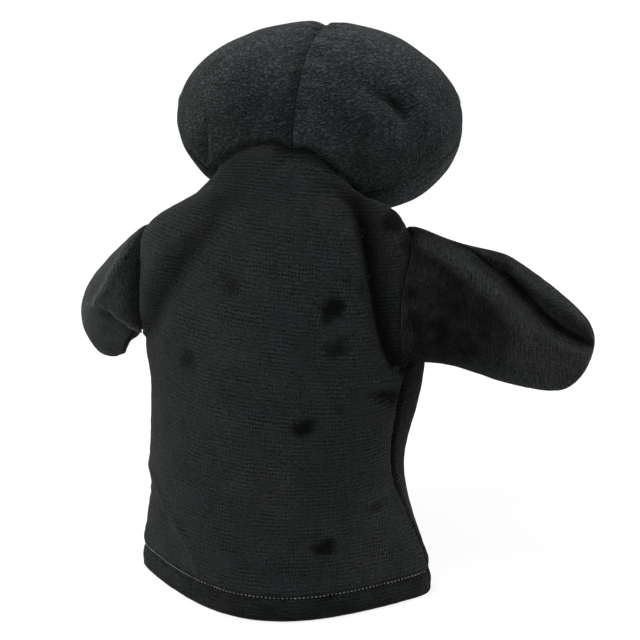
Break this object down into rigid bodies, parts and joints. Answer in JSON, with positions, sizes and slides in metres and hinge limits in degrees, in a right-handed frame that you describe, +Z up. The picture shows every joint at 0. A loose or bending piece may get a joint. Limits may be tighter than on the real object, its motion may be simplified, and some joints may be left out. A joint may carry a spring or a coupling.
{
  "type": "finger puppet",
  "caption": "Black plush glove puppet with a stuffed oval head, a bell-shaped tunic open at the hem for a hand, and mitten arms.",
  "frame": {"origin": "middle of the bounding box, on the floor the hem rests on", "axes": "+Z up; the face looks along -Y and the pictured back along +Y; the puppet's left arm is on +X"},
  "size_m": [0.2292, 0.122, 0.2306],
  "materials": {
    "black_plush": "short-pile knitted plush, dark charcoal black",
    "black_lining": "plain woven lining",
    "white_fibre": "loose polyester fibre, hidden in the head",
    "grey_thread": "sewing thread",
    "black_plastic": "glossy black button"
  },
  "bodies": {
    "root": {"head_panel_left": "black_plush", "head_panel_right": "black_plush", "face_panel": "black_plush", "body_back": "black_plush", "body_front": "black_plush", "arm_left_back": "black_plush", "arm_left_front": "black_plush", "arm_right_back": "black_plush", "arm_right_front": "black_plush", "head_filling": "white_fibre", "finger_tube": "black_lining", "eye_left": "black_plastic", "eye_right": "black_plastic", "hem_thread": "grey_thread"}
  },
  "joints": []
}
